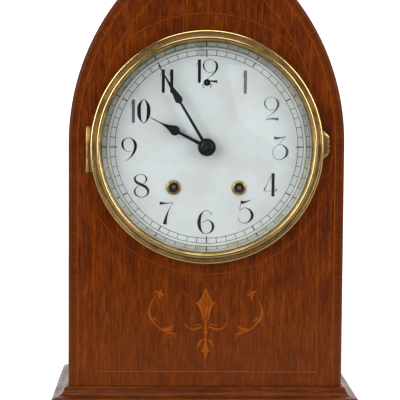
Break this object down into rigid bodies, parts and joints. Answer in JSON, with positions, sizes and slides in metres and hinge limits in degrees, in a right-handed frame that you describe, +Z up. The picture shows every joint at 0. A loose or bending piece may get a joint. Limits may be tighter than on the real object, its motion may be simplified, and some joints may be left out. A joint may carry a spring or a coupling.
{
  "type": "beehive clock",
  "caption": "Pointed-arch wooden shelf clock with inlaid front, hinged glass bezel, white dial, striking spring movement, pendulum, coil gong and back door.",
  "frame": {"origin": "middle of the clock's bounding box, on the surface it stands on", "axes": "+Z up; the dial faces -Y; +X is to the right of someone who faces the dial"},
  "size_m": [0.235, 0.1526, 0.3703],
  "materials": {
    "case_mahogany": "polished",
    "back_wood": "satin",
    "hinge_brass": "satin",
    "bezel_brass": "polished",
    "movement_brass": "satin",
    "bob_brass": "polished",
    "screw_steel": "satin",
    "steel": "satin",
    "blued_steel": "satin",
    "cast_black": "matte",
    "black_hand": "satin",
    "dial_white": "matte",
    "clear_glass": "polished"
  },
  "bodies": {
    "case": {"front_board": "case_mahogany", "left_side": "case_mahogany", "right_side": "case_mahogany", "back_board": "back_wood", "base_board": "back_wood", "base_front_moulding": "case_mahogany", "base_side_mouldings": "case_mahogany", "door_hinge_frames": "hinge_brass", "wood_screws": "screw_steel", "dial": "dial_white", "sight_ring": "bezel_brass", "winding_grommets": "bezel_brass", "mounting_ring": "bezel_brass", "bezel_hinge_pin": "bezel_brass", "front_plate": "movement_brass", "back_plate": "movement_brass", "pillars": "steel", "pillar_nuts": "steel", "time_mainspring": "blued_steel", "strike_mainspring": "blued_steel", "gong": "blued_steel", "gong_stand": "cast_black", "suspension_cock": "movement_brass"},
    "bezel": {"bezel_ring": "bezel_brass", "bezel_tab": "bezel_brass", "glass": "clear_glass", "glass_retainer": "bezel_brass"},
    "door": {"back_door": "back_wood", "door_hinge_leaves": "hinge_brass"},
    "button": {"turn_button": "back_wood"},
    "minute": {"centre_wheel": "movement_brass", "minute_pipe": "movement_brass", "minute_hand": "black_hand", "hand_washer": "black_hand"},
    "hour": {"hour_wheel": "movement_brass", "hour_hand": "black_hand"},
    "motion": {"motion_wheel": "movement_brass"},
    "time_second": {"time_second_wheel": "movement_brass"},
    "time_main": {"time_main_wheel": "movement_brass"},
    "time_winder": {"time_winding_arbor": "steel"},
    "time_click": {"time_click": "steel"},
    "third": {"third_wheel": "movement_brass"},
    "escape": {"escape_wheel": "movement_brass"},
    "verge": {"verge": "steel"},
    "pendulum": {"suspension_spring": "steel", "pendulum_rod": "steel", "pendulum_bob": "bob_brass"},
    "strike_main": {"strike_main_wheel": "movement_brass"},
    "strike_winder": {"strike_winding_arbor": "steel"},
    "strike_click": {"strike_click": "steel"},
    "strike_second": {"strike_second_wheel": "movement_brass", "count_wheel": "movement_brass"},
    "pin": {"pin_wheel": "movement_brass"},
    "locking": {"locking_wheel": "movement_brass"},
    "warning": {"warning_wheel": "movement_brass"},
    "fly": {"fly": "movement_brass"},
    "count_lever": {"count_lever": "steel"},
    "hammer": {"hammer": "steel"},
    "regulator": {"regulator_arbor": "steel"},
    "rating_slide": {"rating_slide": "movement_brass"}
  },
  "joints": [
    {"name": "bezel_hinge", "type": "hinge", "parent": "case", "child": "bezel", "pos_m": [-0.0902, -0.06175, 0.2052], "axis": [0, 0, -1], "range_deg": [0, 110]},
    {"name": "door_hinge", "type": "hinge", "parent": "case", "child": "door", "pos_m": [-0.062, 0.07315, 0.14], "axis": [0, 0, -1], "range_deg": [-110, 0]},
    {"name": "button_pivot", "type": "hinge", "parent": "case", "child": "button", "pos_m": [0.07, 0.07275, 0.14], "axis": [0, 1, 0], "range_deg": [0, 90]},
    {"name": "minute_turn", "type": "hinge", "parent": "case", "child": "minute", "pos_m": [0, -0.02905, 0.2052], "axis": [0, 1, 0], "continuous": true},
    {"name": "hour_turn", "type": "hinge", "parent": "case", "child": "hour", "pos_m": [0, -0.04905, 0.2052], "axis": [0, 1, 0], "continuous": true},
    {"name": "motion_turn", "type": "hinge", "parent": "case", "child": "motion", "pos_m": [0, -0.04105, 0.1932], "axis": [0, 1, 0], "continuous": true},
    {"name": "time_second_turn", "type": "hinge", "parent": "case", "child": "time_second", "pos_m": [0.01836, -0.01905, 0.1996], "axis": [0, 1, 0], "continuous": true},
    {"name": "time_main_turn", "type": "hinge", "parent": "case", "child": "time_main", "pos_m": [0.025, -0.02935, 0.1742], "axis": [0, 1, 0], "continuous": true},
    {"name": "time_winding", "type": "hinge", "parent": "time_main", "child": "time_winder", "pos_m": [0.025, -0.02935, 0.1742], "axis": [0, 1, 0], "continuous": true},
    {"name": "time_click_pivot", "type": "hinge", "parent": "time_main", "child": "time_click", "pos_m": [0.03692, -0.03165, 0.18054], "axis": [0, 1, 0], "range_deg": [-8, 0]},
    {"name": "third_turn", "type": "hinge", "parent": "case", "child": "third", "pos_m": [0.0092, -0.01905, 0.22113], "axis": [0, 1, 0], "continuous": true},
    {"name": "escape_turn", "type": "hinge", "parent": "case", "child": "escape", "pos_m": [0, -0.01905, 0.23519], "axis": [0, 1, 0], "continuous": true},
    {"name": "pendulum_swing", "type": "hinge", "parent": "case", "child": "pendulum", "pos_m": [0, 0.00945, 0.2652], "axis": [0, 1, 0], "range_deg": [-3, 3]},
    {"name": "verge_rock", "type": "hinge", "parent": "case", "child": "verge", "pos_m": [0, -0.01405, 0.2652], "axis": [0, 1, 0], "range_deg": [-3, 3]},
    {"name": "locking_turn", "type": "hinge", "parent": "case", "child": "locking", "pos_m": [-0.0258, -0.01905, 0.22904], "axis": [0, 1, 0], "continuous": true},
    {"name": "pin_turn", "type": "hinge", "parent": "case", "child": "pin", "pos_m": [-0.028, -0.01905, 0.21336], "axis": [0, 1, 0], "continuous": true},
    {"name": "strike_second_turn", "type": "hinge", "parent": "case", "child": "strike_second", "pos_m": [-0.01836, -0.01905, 0.1996], "axis": [0, 1, 0], "continuous": true},
    {"name": "strike_main_turn", "type": "hinge", "parent": "case", "child": "strike_main", "pos_m": [-0.025, -0.02935, 0.1742], "axis": [0, 1, 0], "continuous": true},
    {"name": "strike_winding", "type": "hinge", "parent": "strike_main", "child": "strike_winder", "pos_m": [-0.025, -0.02935, 0.1742], "axis": [0, 1, 0], "continuous": true},
    {"name": "strike_click_pivot", "type": "hinge", "parent": "strike_main", "child": "strike_click", "pos_m": [-0.03692, -0.03165, 0.18054], "axis": [0, 1, 0], "range_deg": [0, 8]},
    {"name": "warning_turn", "type": "hinge", "parent": "case", "child": "warning", "pos_m": [-0.02248, -0.01905, 0.24141], "axis": [0, 1, 0], "continuous": true},
    {"name": "fly_turn", "type": "hinge", "parent": "case", "child": "fly", "pos_m": [-0.01528, -0.01905, 0.24999], "axis": [0, 1, 0], "continuous": true},
    {"name": "count_lever_lift", "type": "hinge", "parent": "case", "child": "count_lever", "pos_m": [-0.044, -0.01905, 0.2252], "axis": [0, 1, 0], "range_deg": [0, 8]},
    {"name": "hammer_swing", "type": "hinge", "parent": "case", "child": "hammer", "pos_m": [-0.044, 0.00095, 0.2012], "axis": [0, 1, 0], "range_deg": [0, 10]},
    {"name": "regulator_turn", "type": "hinge", "parent": "case", "child": "regulator", "pos_m": [0, -0.01905, 0.2542], "axis": [0, 1, 0], "range_deg": [-45, 45]},
    {"name": "rating_slide_travel", "type": "slide", "parent": "case", "child": "rating_slide", "axis": [0, 0, 1], "range_m": [-0.00235, 0.00235]}
  ],
  "couplings": [
    {"joint": "hour_turn", "follows": "minute_turn", "ratio": 0.083333},
    {"joint": "motion_turn", "follows": "minute_turn", "ratio": -0.33333},
    {"joint": "time_second_turn", "follows": "minute_turn", "ratio": -0.33333},
    {"joint": "time_main_turn", "follows": "minute_turn", "ratio": 0.055556},
    {"joint": "third_turn", "follows": "minute_turn", "ratio": -10.5},
    {"joint": "escape_turn", "follows": "minute_turn", "ratio": 115.5},
    {"joint": "verge_rock", "follows": "pendulum_swing", "ratio": 1},
    {"joint": "pin_turn", "follows": "locking_turn", "ratio": -0.1},
    {"joint": "strike_second_turn", "follows": "locking_turn", "ratio": 0.011111},
    {"joint": "strike_main_turn", "follows": "locking_turn", "ratio": -0.0018519},
    {"joint": "warning_turn", "follows": "locking_turn", "ratio": -7},
    {"joint": "fly_turn", "follows": "locking_turn", "ratio": 42},
    {"joint": "regulator_turn", "follows": "rating_slide_travel", "rad_per_m": -333.33}
  ]
}
